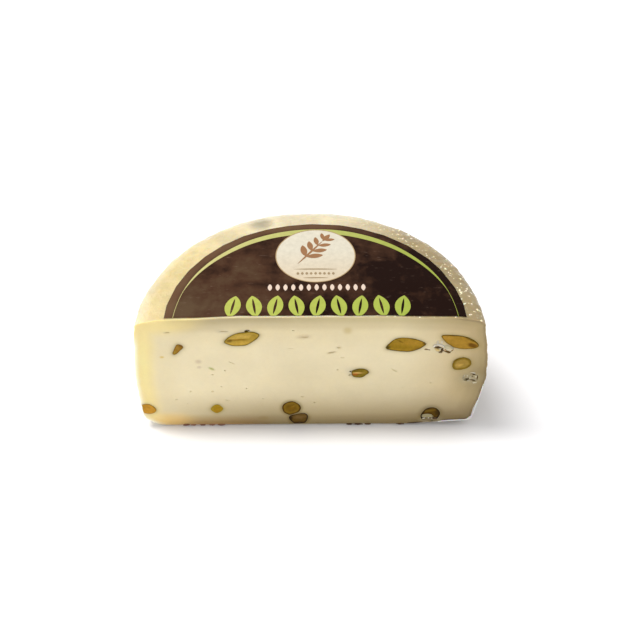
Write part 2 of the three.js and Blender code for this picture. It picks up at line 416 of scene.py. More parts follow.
def rounded(points, times):
    """A closed outline with a new point put between each two, on a smooth curve through them."""
    for _ in range(times):
        finer = []
        for i, here in enumerate(points):
            before = points[i - 1]
            after = points[(i + 1) % len(points)]
            beyond = points[(i + 2) % len(points)]
            finer.append(here)
            finer.append([(9 * (b + c) - a - d) / 16
                          for a, b, c, d in zip(before, here, after, beyond)])
        points = finer
    return points


def middle_of(points):
    return [sum(each) / len(points) for each in zip(*points)]


def egg(name, gap=0.0, facets=POCKET_FACETS):
    """A kernel-shaped solid centred on the cut, larger all round by gap. Its section there is the
    kernel's outline, and it rounds off inwards to an uneven skin."""
    reach, outline = PISTACHIOS[name]
    mid_x, mid_z = middle_of(outline)
    rim = sorted((math.atan2(z - mid_z, x - mid_x), math.hypot(x - mid_x, z - mid_z))
                 for x, z in rounded(outline, 3))
    rim = [(rim[-1][0] - 2 * math.pi, rim[-1][1])] + rim + [(rim[0][0] + 2 * math.pi, rim[0][1])]
    bpy.ops.mesh.primitive_uv_sphere_add(segments=facets[0], ring_count=facets[1], radius=1)
    piece = bpy.context.object
    for vertex in piece.data.vertices:
        turn = math.atan2(vertex.co.y, vertex.co.x)
        inward = -vertex.co.z
        for (t0, r0), (t1, r1) in zip(rim, rim[1:]):
            if turn <= t1:
                break
        out = r0 + (r1 - r0) * (turn - t0) / max(1e-6, t1 - t0)
        uneven = 1 + 0.1 * noise.noise(vertex.co * 1.7 + Vector((mid_x, mid_z, 0))) * abs(inward)
        out = math.hypot(vertex.co.x, vertex.co.y) * (out + gap) * uneven
        deep = inward * (reach + gap) * uneven
        x = mid_x + out * math.cos(turn) + KERNEL_SLANT * deep
        z = mid_z + out * math.sin(turn)
        vertex.co = Vector((AXIS_X + x * MM, CUT_Y + deep * MM, z * MM))
        spot, outward = rind_skin.find_nearest(vertex.co)[:2]
        if (vertex.co - spot).dot(outward) > -RIND_COVER:
            vertex.co = spot - RIND_COVER * outward
    face_outwards(piece)
    return piece


def lump(x, z, wide, tall, deep, tilt, seed, ahead=0.0):
    """A small uneven solid centred on the cut, or ahead of it: a ball pulled out of round."""
    bpy.ops.mesh.primitive_ico_sphere_add(subdivisions=3 if wide > 1.6 else 2, radius=1)
    piece = bpy.context.object
    turn = Matrix.Rotation(math.radians(-tilt), 3, "Y")
    place = Vector((AXIS_X + x * MM, CUT_Y - ahead * MM, z * MM))
    for vertex in piece.data.vertices:
        uneven = 1 + 0.45 * noise.noise(vertex.co * 1.6 + Vector((seed, 0, 0)))
        spot = Vector((vertex.co.x * wide / 2, vertex.co.y * deep, vertex.co.z * tall / 2))
        vertex.co = place + turn @ (spot * uneven) * MM
    return piece


def joined(pieces):
    bpy.ops.object.select_all(action="DESELECT")
    for piece in pieces:
        piece.select_set(True)
    bpy.context.view_layer.objects.active = pieces[0]
    bpy.ops.object.join()
    return bpy.context.object


# Small eyes and slits in the paste: place, width, height, depth and tilt. The knife smeared
# paste into them, which leaves this much of their depth.
EYE_SMEARED = 0.6
EYES = [
    (-2.6, 57.5, 5.2, 1.5, 0.5, 4), (-7.0, 61.4, 1.0, 0.8, 0.8, 0), (-8.4, 50.6, 2.6, 0.8, 0.5, 8),
    (11.9, 51.1, 1.6, 1.0, 0.7, 0), (9.0, 48.0, 3.4, 0.9, 0.8, 16), (13.7, 44.9, 1.8, 0.9, 0.6, -12),
    (11.7, 37.3, 1.2, 0.9, 0.6, 0), (36.4, 36.5, 3.6, 0.9, 0.9, -40), (52.6, 28.6, 0.9, 0.9, 0.6, 0),
    (40.5, 25.4, 0.9, 0.8, 0.6, 0), (1.6, 15.7, 0.9, 0.7, 0.6, 0), (-42.6, 34.6, 1.2, 1.0, 0.6, 0),
    (-37.0, 37.1, 1.0, 1.1, 0.8, 0), (-33.9, 42.1, 2.8, 0.6, 0.4, -30), (-39.2, 26.8, 1.0, 0.8, 0.5, 0),
    (-43.4, 23.5, 1.4, 0.8, 0.6, 0), (-53.1, 23.6, 0.8, 1.2, 0.6, 0), (-28.3, 25.4, 0.9, 0.9, 0.8, 0),
    (-59.8, 18.3, 1.6, 0.8, 0.6, 10), (-55.1, 15.5, 0.8, 0.7, 0.5, 0), (-37.1, 17.8, 2.4, 0.6, 0.4, -6),
    (-21.1, 18.6, 1.4, 0.6, 0.4, 0), (-3.7, 19.8, 1.6, 0.7, 0.5, 8), (-60.0, 60.6, 2.4, 0.6, 0.4, 4),
    (-36.4, 61.0, 3.8, 0.8, 0.5, 0),
]
# Torn places: where a kernel broke out beside pistachio_8, the dark chink above pistachio_4, the
# chink left of pistachio_7, and the crumbly spot at the right. Each has the colour of its inside.
TORN = [
    (49.4, 49.5, 2.0, 0.9, 1.2, -4, "#8A641E"), (50.7, 49.2, 1.0, 0.7, 1.0, -30, "#8A641E"),
    (54.1, 50.7, 3.4, 1.5, 2.6, -10, "#7A5414"), (55.9, 48.7, 1.6, 3.8, 2.6, -10, "#80581A"),
    (54.2, 48.3, 3.0, 0.5, 0.8, -42, "#8A641E"), (58.4, 48.1, 3.6, 1.5, 2.0, -24, "#8A641E"),
    (60.2, 48.6, 1.9, 0.6, 1.0, 40, "#94702C"), (57.0, 48.6, 1.4, 1.0, 1.2, 0, "#8A641E"),
    (-26.4, 61.2, 2.6, 1.3, 1.6, 20, "#6B4A12"), (17.3, 36.1, 1.0, 1.0, 1.2, 0, "#4E3C14"),
    (17.0, 33.8, 1.6, 0.9, 0.8, 10, "#6E6024"), (68.1, 30.5, 2.4, 2.2, 0.9, 0, "#7A6E4E"),
    (71.0, 33.9, 1.8, 1.2, 1.0, -25, "#6B4F26"), (71.1, 30.1, 3.0, 1.2, 0.9, -15, "#86724C"),
    (72.8, 31.6, 0.7, 3.2, 0.8, 0, "#86693E"),
]

wheel = turn_wheel()
relief = wheel.vertex_groups.new(name="relief")
for vertex in wheel.data.vertices:
    relief.add([vertex.index], relief_share(vertex.co), "REPLACE")
wrinkle(wheel, 7 * MM, 0.7 * MM, 1)
wrinkle(wheel, 2.2 * MM, 0.5 * MM, 2)
rind_skin = skin_of(wheel)

reach_x = WHEEL_RADIUS + 4 * MM
knife = knife_block(AXIS_X - reach_x, AXIS_X + reach_x, -3 * MM, WHEEL_HEIGHT + 3 * MM,
                    step=PASTE_STEP, proud=0, wave=0.22 * MM, wave_length=26 * MM)
boolean(wheel, knife, "INTERSECT")
# Pistachio_6 touches its neighbour, so its pocket is cut by itself.
pockets = [egg(name, POCKET_GAP) for name in PISTACHIOS if name != "pistachio_6"]
boolean(wheel, joined(pockets), "DIFFERENCE")
boolean(wheel, egg("pistachio_6", POCKET_GAP), "DIFFERENCE")
eyes = [lump(x, z, wide, tall, EYE_SMEARED * deep, tilt, i)
        for i, (x, z, wide, tall, deep, tilt) in enumerate(EYES)]
boolean(wheel, joined(eyes), "DIFFERENCE")
for i, spot in enumerate(TORN):
    boolean(wheel, lump(*spot[:6], seed=40 + i), "DIFFERENCE")


def blend(first, second, share):
    return [a + (b - a) * share for a, b in zip(first, second)]


def tone(stops, depth):
    """The colour at a depth in millimetres, from a list of depths with their colours."""
    for (d0, c0), (d1, c1) in zip(stops, stops[1:]):
        if depth < d1:
            return blend(linear(c0), linear(c1), smooth(depth, d0, d1))
    return linear(stops[-1][1])


def marked(colour, x, z, marks):
    """Adds marks to a colour at a place on the cut. A mark has a place, length, width, tilt,
    colour, strength and softness of its edge."""
    for mark_x, mark_z, long, wide, tilt, hex_colour, strength, soft in marks:
        across, up = x - mark_x, z - mark_z
        if abs(across) > long + wide or abs(up) > long + wide:
            continue
        c, s = math.cos(math.radians(tilt)), math.sin(math.radians(tilt))
        from_middle = math.hypot((across * c + up * s) * 2 / long, (up * c - across * s) * 2 / wide)
        share = strength * (1 - smooth(from_middle, 1 - soft, 1 + soft))
        if share > 0:
            colour = blend(colour, linear(hex_colour), share)
    return colour


def made_of(piece, *materials):
    """Gives a piece its materials, in place of the empty slots that a cut leaves."""
    piece.data.materials.clear()
    for each in materials:
        piece.data.materials.append(each)


def paint(piece, colour_at):
    """Keeps a colour for each point of a piece, which its material reads. The fourth value is how
    wet the point is, 1 for cut paste and near 0 inside a torn place."""
    layer = piece.data.color_attributes.new("paint", "FLOAT_COLOR", "POINT")
    for vertex, item in zip(piece.data.vertices, layer.data):
        item.color = colour_at(vertex.co)


# The paste's colour at depths below the rind, and the marks on the cut.
PASTE_TONES = [(0, "#CFBF92"), (2, "#D2C396"), (5, "#DFD0A6"), (9, "#EDDFB7"), (22, "#F0E3BE")]
PASTE_MARKS = [
    (-42.8, 38.4, 2.8, 1.1, -35, "#A8AA44", 0.9, 0.5), (-63.5, 45.7, 1.8, 1.2, 0, "#D9BC4E", 0.8, 0.6),
    (15.6, 61.3, 3.4, 3.6, 0, "#CDB877", 0.6, 0.7), (-21.6, 5.2, 4.6, 2.4, 4, "#9C8550", 0.7, 0.7),
    (-2.8, 57.6, 6.0, 2.6, 4, "#D6C49C", 0.7, 0.6), (-48.1, 42.9, 2.6, 2.2, 0, "#CDB998", 0.6, 0.6),
    (-48.0, 39.4, 1.8, 1.5, 0, "#CDB998", 0.6, 0.6), (-36.6, 61.2, 6.0, 2.2, -6, "#C9BC9C", 0.5, 0.7),
    (-60.0, 60.6, 3.0, 0.9, 4, "#C6B488", 0.5, 0.7), (9.0, 48.0, 4.0, 1.4, 16, "#D3C092", 0.6, 0.6),
    (12.1, 51.1, 2.4, 1.6, 0, "#D3C092", 0.6, 0.6), (69.4, 31.2, 10.0, 6.5, 8, "#B5A884", 0.5, 0.5),
    (54.6, 50.4, 9.0, 6.0, -12, "#DDD2B0", 0.5, 0.5), (54.5, 3.6, 8.0, 6.0, 0, "#CFC6B2", 0.5, 0.6),
    (17.0, 36.6, 4.4, 4.6, 0, "#D3CAB0", 0.45, 0.6), (-28.0, 61.5, 4.0, 2.2, 10, "#C9BC9C", 0.4, 0.6),
    (-8.8, 12.1, 9.8, 10.6, 0, "#7E6A2C", 0.5, 0.2), (-5.6, 5.0, 10.2, 8.8, 0, "#6A5524", 0.6, 0.2),
    (54.1, 7.5, 10.6, 11.4, 0, "#6A5830", 0.55, 0.28), (-48.0, 1.2, 26.0, 2.0, 0, "#B98F62", 0.5, 0.8),
    # The long dark mark along the base at 26 mm is partly browned paste and partly painted contact shade
    # under the foot.
    (-62.0, 4.8, 15.0, 8.0, 0, "#ECC67E", 0.45, 0.7), (26.0, 0.6, 30.0, 1.6, 0, "#A79272", 0.4, 0.8),
]

kernel_skins = []
for name in PISTACHIOS:
    whole_kernel = egg(name)
    kernel_skins.append(skin_of(whole_kernel))
    bpy.data.objects.remove(whole_kernel)


def paste_colour(point):
    """The colour of the paste at a place in the cheese, and how wet it is there."""
    x, z = (point.x - AXIS_X) / MM, point.z / MM
    inside = (point.y - CUT_Y) / MM
    depth = rind_skin.find_nearest(point)[3] / MM
    colour = tone(PASTE_TONES, depth)
    # The left end faces the lamps: its yellow under the rind is painted stronger, as painted light
    # glowing through the translucent edge, and its outermost edge is a painted highlight.
    left_glow = smooth(max(0, z - 54) * 0.9 - x, 50, 66)
    colour = blend(colour, linear("#FFEBA4"), 0.8 * left_glow * (1 - smooth(depth, 4, 11)))
    left_highlight = smooth(-x, 50, 66) * (1 - smooth(z, 52, 62)) * (1 - smooth(depth, 0.2, 2.4))
    colour = blend(colour, linear("#FFFAE9"), 0.65 * left_highlight)
    # Painted shade: the paste is darker towards the base, towards the right end, in a band halfway up
    # the right edge, and faintly in the middle. The right end is also partly browned in its own right,
    # where it dried the most.
    base_shade = (0.08 + 0.47 * smooth(x, -82, -12) + 0.08 * smooth(x, 10, 60)) * (1 - smooth(z, 0, 30))
    dry_and_shade = 0.25 * smooth(x, 36, 68) * (0.35 + 0.65 * smooth(z, 2, 26))
    dark = 0.34 * smooth(x, 56, 71) * math.exp(-((z - 32) / 10) ** 2)
    dull = 0.09 * smooth(x, -34, 4) * math.exp(-((z - 28) / 13) ** 2) * (1 - smooth(x, 46, 60))
    # It browned where it lay on the board at the left, which also paints the contact shade at the foot
    # there; just under the label's edge the paste is darkened as a painted shadow of the label.
    board = 0.2 * (1 - smooth(z, 1, 9)) * (1 - smooth(x, -30, -12)) * smooth(x, -72, -62)
    glue = 0.22 * smooth(depth, 0.4, 1.0) * math.exp(-depth / 4) * smooth(z, 54, 60)
    glue *= smooth(x, -66, -52) * (1 - smooth(x, -18, 14))
    rim = 0.24 * smooth(x, 52, 68) * (1 - smooth(depth, 0.8, 1.5))
    # How much red, green and blue each of these stains and painted shades takes from the paste.
    stains = [(base_shade, (1, 1.1, 1.27)), (dry_and_shade, (1, 1.28, 1.75)), (dark, (1, 1.05, 1.3)),
              (dull, (1, 1.1, 1.4)), (board, (0.6, 1.5, 2.6)), (glue, (1, 1.1, 1.1)),
              (rim, (1, 1.1, 1.15))]
    for amount, takes in stains:
        for i, take in enumerate(takes):
            colour[i] *= 1 - take * amount
    # The kernels' oil and skins tint the paste that touches them.
    near_kernel = min((skin.find_nearest(point, 3 * MM)[3] or 3 * MM) for skin in kernel_skins) / MM
    colour = blend(colour, linear("#A08A3A"), 0.55 * math.exp(-near_kernel / 0.85))
    if inside < 9:
        colour = marked(colour, x, z, PASTE_MARKS)
    if depth > 0.6 and 0.12 < inside < 9:
        for torn_x, torn_z, wide, tall, deep, tilt, torn_colour in TORN:
            if math.hypot(x - torn_x, z - torn_z) < max(wide, tall) * 0.5 + 0.3:
                share = smooth(inside, 0.1, 0.5)
                return blend(colour, linear(torn_colour), 0.9 * share)[:3] + [1 - 0.95 * share]
        # Inside the eyes and pockets the paste is painted a darker tan: painted shade in the hollows.
        colour = blend(colour, linear("#CDB98C"), 0.4 * smooth(inside, 0.15, 0.7))
    return colour


paint(wheel, paste_colour)


def repeats(size):
    """The scale of a pattern whose grains are of a real size in millimetres."""
    return 1 / (size * MM)


def fill(made, settings=None, links=None):
    """Fills a node in: settings are its properties and the values of its inputs, and links are
    the outputs that feed its inputs, or nodes whose first output in use does."""
    for name, value in (settings or {}).items():
        if isinstance(name, str) and hasattr(made, name):
            setattr(made, name, value)
        else:
            made.inputs[name].default_value = value
    for name, source in (links or {}).items():
        if isinstance(source, bpy.types.Node):
            source = next(each for each in source.outputs if each.enabled)
        made.id_data.links.new(source, made.inputs[name])


def node(tree, kind, settings=None, links=None):
    """Adds a node and fills it in."""
    made = tree.nodes.new("ShaderNode" + kind)
    fill(made, settings, links)
    return made


# Fat and moist, so light goes about a millimetre in and comes out soft, with a low waxy gleam
# where it is wet. The curd grains and the blade's drag are only just felt.
paste, tree, shader = material("pecorino paste, waxy and lightly ripened")
at = node(tree, "TexCoord").outputs["Object"]
painted = node(tree, "Attribute", {"attribute_name": "paint"})
gleam = node(tree, "MapRange", {"To Min": 0.0, "To Max": 0.4}, {"Value": painted.outputs["Alpha"]})
clouds = node(tree, "TexNoise", {"Scale": repeats(16.667), "Detail": 3, "Roughness": 0.55},
              {"Vector": at})
patch = node(tree, "MapRange", {"From Min": 0.3, "From Max": 0.7, "To Min": 0.955, "To Max": 1.03},
             {"Value": clouds})
curd = node(tree, "TexNoise", {"Scale": repeats(1.1111), "Detail": 3, "Roughness": 0.6},
            {"Vector": at})
grain = node(tree, "MapRange", {"From Min": 0.3, "From Max": 0.7, "To Min": 0.985, "To Max": 1.012},
             {"Value": curd})
lightness = node(tree, "Math", {"operation": "MULTIPLY"}, {0: patch, 1: grain})
tinted = node(tree, "VectorMath", {"operation": "SCALE"}, {"Vector": painted, "Scale": lightness})
wet = node(tree, "MapRange", {"From Min": 0.35, "From Max": 0.65, "To Min": 0.38, "To Max": 0.55},
           {"Value": clouds})
# The blade drags the paste along, so the finest marks on the cut run level.
drag_size = (repeats(8.3333), repeats(1.1111), repeats(1.1111))
dragged = node(tree, "Mapping", {"Scale": drag_size}, {"Vector": at})
drag = node(tree, "TexNoise", {"Scale": 1, "Detail": 4, "Roughness": 0.6}, {"Vector": dragged})
drag_bump = node(tree, "Bump", {"Strength": 0.25, "Distance": 0.2 * MM}, {"Height": drag})
curd_bump = node(tree, "Bump", {"Strength": 0.25, "Distance": 0.25 * MM},
                 {"Height": curd, "Normal": drag_bump})
fill(shader, {"Subsurface Weight": 1.0, "Subsurface Radius": (0.85, 0.9, 0.95),
              "Subsurface Scale": 1.6 * MM},
     {"Base Color": tinted, "Roughness": wet, "Specular IOR Level": gleam, "Normal": curd_bump})

# Dried paste rubbed with oil: duller and browner than the paste and blotched, with fine wrinkles
# and pores, a broken oily gleam and a soft sheen along its edges.
rind, tree, shader = material("thin natural rind, dried and oiled")
at = node(tree, "TexCoord").outputs["Object"]
place = node(tree, "SeparateXYZ", None, {"Vector": at})
# Yellow and moist at the left end, creamier at the back, dried to a greyish brown at the right; that
# brown at the right is partly painted shade, on the side away from the lamps.
leftward = node(tree, "MapRange", {"From Min": -18 * MM, "From Max": -55 * MM},
                {"Value": place.outputs["X"]})
ripened = node(tree, "Mix", {"data_type": "RGBA", 6: linear("#CFC2A1"), 7: linear("#C7B47E")},
               {0: leftward})
rightward = node(tree, "MapRange", {"interpolation_type": "SMOOTHSTEP", "From Min": 8 * MM,
                 "From Max": 48 * MM}, {"Value": place.outputs["X"]})
dried = node(tree, "Mix", {"data_type": "RGBA", 7: linear("#968359")}, {0: rightward, 6: ripened})
# The shoulder at the left and the back, which faces the lamps, is painted palest: a painted highlight.
from_axis = node(tree, "VectorMath", {"operation": "MULTIPLY_ADD", 1: (1, 1, 0),
                 2: (-AXIS_X, -CUT_Y, 0)}, {0: at})
round_axis = node(tree, "VectorMath", {"operation": "LENGTH"}, {0: from_axis})
highlight_reach = node(tree, "MapRange", {"From Min": 67 * MM, "From Max": 71.5 * MM, "To Max": 0.85},
               {"Value": round_axis})
shoulder_height = node(tree, "MapRange", {"From Min": 54 * MM, "From Max": 64 * MM, "To Min": 0.45},
                {"Value": place.outputs["Z"]})
highlight_band = node(tree, "Math", {"operation": "MULTIPLY"}, {0: highlight_reach, 1: shoulder_height})
not_right = node(tree, "MapRange", {"To Min": 1.0, "To Max": 0.0}, {"Value": rightward})
painted_highlight = node(tree, "Math", {"operation": "MULTIPLY"}, {0: highlight_band, 1: not_right})
highlight_colour = node(tree, "Mix", {"data_type": "RGBA", 6: linear("#D8D2BC"), 7: linear("#D2C6A2")},
                   {0: leftward})
shoulder = node(tree, "Mix", {"data_type": "RGBA"}, {0: painted_highlight, 6: dried, 7: highlight_colour})
blotches = node(tree, "TexNoise", {"Scale": repeats(9.0909), "Detail": 5, "Roughness": 0.62},
                {"Vector": at})
bloom = node(tree, "MapRange", {"From Min": 0.3, "From Max": 0.7, "To Min": 0.86, "To Max": 1.08},
             {"Value": blotches})
mottled = node(tree, "VectorMath", {"operation": "SCALE"}, {"Vector": shoulder, "Scale": bloom})
# Pale flecks at the dry end, most of them on its shoulder: partly dried brine, partly painted glints.
flecks = node(tree, "TexNoise", {"Scale": repeats(1.5625), "Detail": 2, "Roughness": 0.5},
              {"Vector": at})
glint_fleck_mask = node(tree, "MapRange", {"From Min": 0.61, "From Max": 0.68}, {"Value": flecks})
fleck_and_glint_end = node(tree, "Math", {"operation": "MULTIPLY"}, {0: shoulder_height, 1: rightward})
glints_and_flecks = node(tree, "Math", {"operation": "MULTIPLY"}, {0: glint_fleck_mask, 1: fleck_and_glint_end})
speckled = node(tree, "Mix", {"data_type": "RGBA", 7: linear("#F4EAC8")}, {0: glints_and_flecks, 6: mottled})
# A grey smudge of mould, with a ragged edge, was left on the shoulder at the back.
SMUDGE_MIDDLE = (AXIS_X - 19.3 * MM, CUT_Y + 63.5 * MM, WHEEL_HEIGHT)
wander = node(tree, "VectorMath", {"operation": "SCALE", "Scale": 5 * MM},
              {"Vector": blotches.outputs["Color"]})
shifted = node(tree, "VectorMath", {"operation": "ADD"}, {0: at, 1: wander})
near = node(tree, "VectorMath", {"operation": "DISTANCE", 1: SMUDGE_MIDDLE}, {0: shifted})
smudge = node(tree, "MapRange", {"interpolation_type": "SMOOTHSTEP", "From Min": 7.5 * MM,
              "From Max": 2 * MM, "To Min": 0, "To Max": 0.8}, {"Value": near})
skin = node(tree, "Mix", {"data_type": "RGBA", 7: linear("#8B8268")}, {0: smudge, 6: speckled})
wrinkles = node(tree, "TexNoise", {"Scale": repeats(2.0833), "Detail": 4, "Roughness": 0.6,
                "Distortion": 0.6}, {"Vector": at})
wrinkle_bump = node(tree, "Bump", {"Strength": 0.6, "Distance": 0.5 * MM}, {"Height": wrinkles})
pores = node(tree, "TexNoise", {"Scale": repeats(0.625), "Detail": 3, "Roughness": 0.6},
             {"Vector": at})
pore_bump = node(tree, "Bump", {"Strength": 0.35, "Distance": 0.2 * MM},
                 {"Height": pores, "Normal": wrinkle_bump})
oiled = node(tree, "MapRange", {"From Min": 0.35, "From Max": 0.65, "To Min": 0.3, "To Max": 0.5},
             {"Value": blotches})
fill(shader, {"Specular IOR Level": 0.8, "Sheen Weight": 0.35, "Sheen Roughness": 0.35,
              "Subsurface Weight": 0.8, "Subsurface Radius": (1.0, 0.6, 0.25),
              "Subsurface Scale": 3 * MM},
     {"Base Color": skin, "Roughness": oiled, "Normal": pore_bump})

# A face that lies on the wheel's skin is rind, unless it faces the knife near the cut.
ON_SKIN = 0.06 * MM
made_of(wheel, paste, rind)
for polygon in wheel.data.polygons:
    on_rind = rind_skin.find_nearest(polygon.center)[3] < ON_SKIN
    outward = abs(polygon.normal.y) < 0.97 or polygon.center.y > CUT_Y + 2 * MM
    polygon.material_index = 1 if on_rind and outward else 0
shade_round(wheel, 40)
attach(wheel, "root")
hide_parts("cheese")


# ---- Crumbs and smears on the cut ---------------------------------------------------------
# Bits of paste that the blade tore loose and pressed back: beside the torn place, over the crumbly spot,
# across pistachio_9, and browned ones along the base where the cheese lay. The dark ones along the base
# right of the middle also stand in for painted contact shade under the foot.

# Place, width, height, thickness, tilt, how far each stands out, and its colour.
CRUMBS = [
    (54.1, 49.3, 2.8, 1.5, 0.5, -30, -0.1, "#CDB57C"), (52.6, 51.9, 2.0, 0.7, 0.25, 50, 0.02, "#EADCC6"),
    (54.6, 52.5, 3.0, 0.8, 0.25, -4, 0.02, "#E8DCC8"), (56.4, 51.6, 1.6, 0.7, 0.25, -50, 0, "#DDD6C4"),
    (53.9, 54.0, 0.6, 2.2, 0.15, 0, 0, "#E6DBC0"), (55.6, 54.2, 0.5, 1.8, 0.15, 0, 0, "#DED6C0"),
    (57.4, 49.2, 1.0, 0.8, 0.4, 0, 0.05, "#C9A87C"), (58.6, 50.9, 4.0, 2.2, 0.2, -20, -0.08, "#CBBF98"),
    (70.7, 35.0, 2.4, 0.6, 0.3, -10, 0.1, "#DCD0AE"), (71.8, 28.7, 2.2, 0.7, 0.3, 8, 0.1, "#D8CEAC"),
    (72.2, 32.6, 0.8, 1.4, 0.3, 0, 0.1, "#CFC4A0"), (69.6, 32.2, 1.0, 2.0, 0.3, -10, 0.08, "#B9AE8E"),
    (67.0, 33.0, 0.4, 1.6, 0.15, 0, 0.05, "#C9BE9C"), (68.3, 33.1, 0.8, 1.2, 0.2, 0, 0.05, "#C9BE9C"),
    (69.0, 29.9, 1.2, 0.6, 0.2, 6, 0.08, "#D6CBA8"), (70.0, 34.1, 1.0, 0.5, 0.2, 0, 0.08, "#8F8058"),
    (68.9, 31.3, 0.9, 0.7, 0.2, 0, 0.06, "#6E6040"), (69.8, 30.4, 1.3, 0.7, 0.2, 10, 0.05, "#7E6E48"),
    (70.7, 32.5, 0.8, 0.8, 0.2, 0, 0.05, "#7A6A44"), (67.5, 31.0, 0.4, 2.4, 0.15, 0, 0.05, "#8F8460"),
    (66.6, 32.0, 0.5, 2.6, 0.15, 0, 0.05, "#A79C7C"), (52.6, 6.3, 5.6, 2.4, 0.35, -3, 0.1, "#A59A74"),
    (54.0, 3.8, 7.0, 2.8, 0.35, -4, 0.08, "#857552"), (51.2, 4.9, 1.3, 0.6, 0.3, 30, 0.3, "#D9D0B8"),
    (53.3, 5.1, 0.7, 0.8, 0.3, -30, 0.3, "#D9D0B8"), (54.8, 4.9, 0.6, 0.7, 0.25, 20, 0.3, "#C9BFA6"),
    (56.2, 4.6, 1.6, 1.4, 0.3, 0, 0.15, "#5E4A34"), (55.0, 3.0, 1.2, 0.8, 0.25, 0, 0.15, "#6B563E"),
    (-56.8, 0.9, 3.2, 1.1, 0.3, 4, 0, "#7E5A4A"), (-53.6, 0.8, 2.2, 0.8, 0.3, 0, 0, "#9A7462"),
    (-49.5, 0.8, 3.0, 0.9, 0.3, -3, 0, "#7E5A4A"), (-45.2, 0.8, 2.4, 0.8, 0.3, 0, 0, "#9A7462"),
    # From 17.5 mm rightwards the dark bits along the base are partly browned crumbs and partly painted
    # contact shade.
    (-40.8, 0.8, 3.4, 0.9, 0.3, 2, 0, "#8A6656"), (17.5, 0.7, 3.0, 0.8, 0.3, 0, 0, "#5A4636"),
    (21.5, 0.7, 4.0, 0.9, 0.3, 0, 0, "#5A4636"), (25.9, 0.8, 3.0, 0.8, 0.3, 2, 0, "#6A5440"),
    (40.9, 0.9, 4.0, 0.9, 0.3, 2, 0, "#5A4636"), (47.1, 1.6, 6.0, 0.8, 0.3, 5, 0, "#4E3C2C"),
]


def crumb(spot, seed):
    """One bit of paste, pressed onto the cut, and drier than the cut itself."""
    x, z, wide, tall, thick, tilt, ahead, colour = spot
    piece = lump(x, z, wide, tall, thick, tilt, seed, ahead)
    paint(piece, lambda point: linear(colour)[:3] + [0.4])
    return piece


crumbs = joined([crumb(spot, 80 + i) for i, spot in enumerate(CRUMBS)])
crumbs.name = "cheese_crumbs"
made_of(crumbs, paste)
shade_round(crumbs, 50)
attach(crumbs, "root")
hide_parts("cheese")


# ---- The lifted skin at the right foot ----------------------------------------------------
# A thread of clear coating, which was brushed on the rind and peeled up along the cut's right
# foot. The knife rolled its torn edge up thin and bright.

# How thick each thread is, and the places that it passes on the cut.
FILM_PATHS = [
    (0.5, [(57.9, 2.4), (59.0, 2.8), (61.2, 3.1), (64.1, 3.4), (67.5, 3.6), (70.9, 3.8), (72.2, 4.6),
           (72.9, 6.6)]),
    (0.3, [(70.6, 3.8), (71.7, 5.6), (72.9, 6.4), (73.3, 7.9), (73.8, 11.8), (74.3, 15.2),
           (74.7, 18.2), (75.4, 23.2), (75.9, 27.8)]),
]


def thread(points, thick):
    """A round thread through places on the cut, just in front of it, with closed ends."""
    bpy.ops.curve.primitive_nurbs_path_add(location=(0, 0, 0))
    path = bpy.context.object
    spline = path.data.splines[0]
    spline.points.add(max(0, len(points) - len(spline.points)))
    points = (points + [points[-1]] * 5)[:len(spline.points)]
    for knot, (x, z) in zip(spline.points, points):
        knot.co = (AXIS_X + x * MM, CUT_Y - 0.25 * MM, z * MM, 1)
    spline.order_u = 3
    spline.use_endpoint_u = True
    path.data.bevel_depth = thick / 2
    path.data.bevel_resolution = 2
    path.data.use_fill_caps = True
    select_only(path)
    bpy.ops.object.convert(target="MESH")
    return bpy.context.object


film = joined([thread(path, thick * MM) for thick, path in FILM_PATHS])
film.name = "coating_torn_edge"
# A clear smooth film: rolled up it turns milky, and its gloss catches the light.
coating, tree, shader = material("clear cheese coating, dried")
fill(shader, {"Base Color": linear("#FCFAF6"), "Roughness": 0.2, "Subsurface Weight": 0.5,
              "Subsurface Scale": 0.5 * MM})
made_of(film, coating)
shade_round(film, 50)
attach(film, "root")
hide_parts("cheese")


# ---- The pistachios -----------------------------------------------------------------------
# Shelled kernels, mixed whole into the curd. The knife went through these eleven, so each
# shows its green and golden flesh inside a dark skin, a little above or below the paste.

# Each kernel's flesh, its skin, the width of the dark edge, and how far it stands out.
KERNEL_LOOKS = {
    "pistachio_1": ("#C58F2E", "#A5761B", 0.35, 0.15),
    "pistachio_2": ("#9F7625", "#835E1A", 0.45, -0.05),
    "pistachio_3": ("#A68219", "#A18720", 0.80, -0.05),
    "pistachio_4": ("#BA993D", "#6D5B12", 0.55, 0.10),
    "pistachio_5": ("#846513", "#442A01", 0.75, 0.05),
    "pistachio_6": ("#664C1C", "#271301", 0.70, -0.10),
    "pistachio_7": ("#806A19", "#624F0C", 0.50, 0.10),
    "pistachio_8": ("#A17E1F", "#574206", 0.60, -0.05),
    "pistachio_9": ("#593F09", "#2B1A02", 0.90, -0.10),
    "pistachio_10": ("#AB8229", "#6E540E", 0.45, 0.12),
    "pistachio_11": ("#A5873A", "#7F6516", 1.30, 0.10),
}
